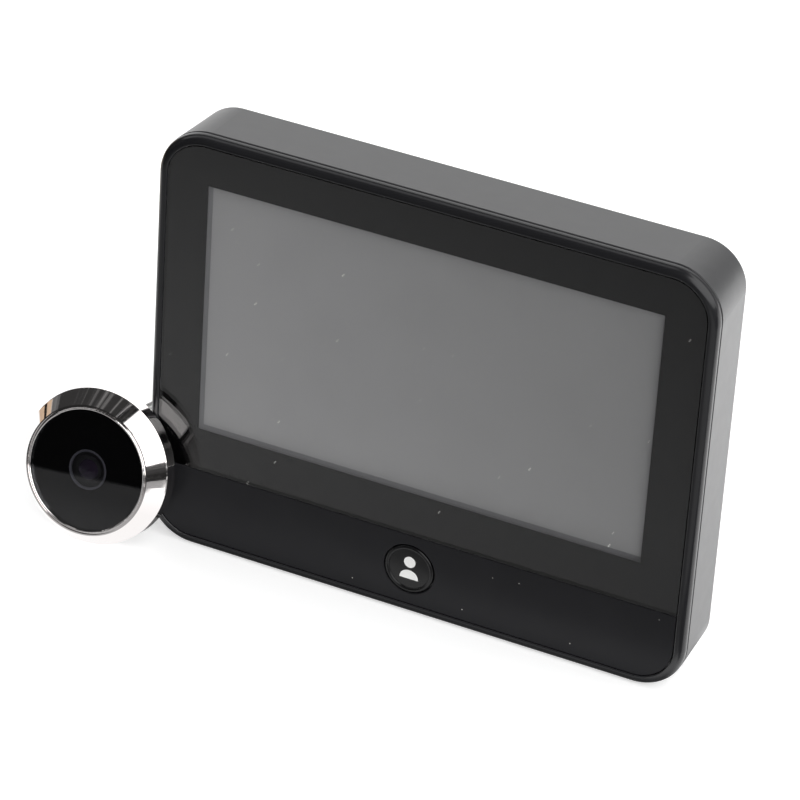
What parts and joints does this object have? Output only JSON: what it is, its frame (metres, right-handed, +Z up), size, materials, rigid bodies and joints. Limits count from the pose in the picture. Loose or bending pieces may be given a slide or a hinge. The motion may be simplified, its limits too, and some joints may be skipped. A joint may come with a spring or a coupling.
{
  "type": "peephole door camera",
  "caption": "Peephole door camera: thin black indoor monitor with a wide display and view button, and a round chrome door camera on a hollow threaded stem.",
  "frame": {"origin": "centre of the monitor's level base, on the surface that it stands on", "axes": "+X along the monitor's width to the viewer's right, +Y from its display to its back, +Z up"},
  "size_m": [0.1421, 0.0462, 0.0929],
  "materials": {
    "frame_plastic": "satin black moulded ABS",
    "display_glass": "polished clear cover glass",
    "glass_print": "black screen print",
    "trim_plastic": "matt black moulded ABS",
    "black_foam": "black foam tape",
    "tray_steel": "bright sheet steel",
    "lcd_border": "dark inactive border of the display cell",
    "lcd_film": "grey polarising film",
    "light_box_plastic": "white diffuser",
    "shell_plastic": "fine-textured dark grey ABS",
    "screw_steel": "blackened steel",
    "board_laminate": "green solder mask on glass laminate",
    "chip_resin": "black moulding resin",
    "socket_nylon": "natural white nylon",
    "switch_plastic": "black nylon",
    "speaker_steel": "zinc-plated steel",
    "cone_paper": "black pressed paper",
    "magnet_ferrite": "dark ferrite",
    "cell_jacket": "plain sleeved steel can",
    "contact_nickel": "nickel-plated strip",
    "spring_steel": "nickel-plated wire",
    "button_plastic": "satin black moulded ABS",
    "bright_chrome": "mirror chrome",
    "gasket_rubber": "black foam rubber",
    "head_glass": "polished tinted cover glass",
    "ring_plastic": "dark grey ring",
    "core_plastic": "black moulded ABS",
    "lens_glass": "coated lens",
    "stem_metal": "bright plated metal"
  },
  "bodies": {
    "monitor": {"front_frame": "frame_plastic", "display_glass": "display_glass", "glass_print": "glass_print", "lower_trim": "trim_plastic", "lcd_foam": "black_foam", "lcd_tray": "tray_steel", "lcd_panel": "lcd_border", "lcd_film": "lcd_film", "lcd_light_box": "light_box_plastic", "rear_shell": "shell_plastic", "shell_screws": "screw_steel", "main_board": "board_laminate", "processor_chip": "chip_resin", "memory_chip": "chip_resin", "ribbon_socket": "socket_nylon", "button_board": "board_laminate", "switch_body": "switch_plastic", "board_screws": "screw_steel", "speaker_frame": "speaker_steel", "speaker_cone": "cone_paper", "speaker_magnet": "magnet_ferrite", "battery_cell_1": "cell_jacket", "battery_cell_2": "cell_jacket", "battery_cell_3": "cell_jacket", "battery_cell_4": "cell_jacket", "battery_contacts": "contact_nickel", "battery_springs": "spring_steel"},
    "view_button": {"button_cap": "button_plastic", "switch_plunger": "switch_plastic"},
    "battery_door": {"battery_door": "shell_plastic"},
    "door_camera": {"head_ring": "bright_chrome", "head_gasket": "gasket_rubber", "head_glass": "head_glass", "head_print": "glass_print", "lens_window_ring": "ring_plastic", "head_core": "core_plastic", "sensor_board": "board_laminate", "image_sensor": "chip_resin", "lens_holder": "core_plastic", "lens_barrel": "core_plastic", "front_lens": "lens_glass", "head_socket": "socket_nylon", "threaded_stem": "stem_metal"}
  },
  "joints": [
    {"name": "view_button_press", "type": "slide", "parent": "monitor", "child": "view_button", "axis": [0, 1, 0], "range_m": [0, 0.0005], "stiffness_N_per_m": 300},
    {"name": "battery_door_hinge", "type": "hinge", "parent": "monitor", "child": "battery_door", "pos_m": [-0.0015, 0.0084, 0.0441], "axis": [0, 0, -1], "range_deg": [0, 75]},
    {"name": "door_camera_lift", "type": "slide", "parent": "monitor", "child": "door_camera", "axis": [0, 0, 1], "range_m": [0, 0.11]}
  ]
}
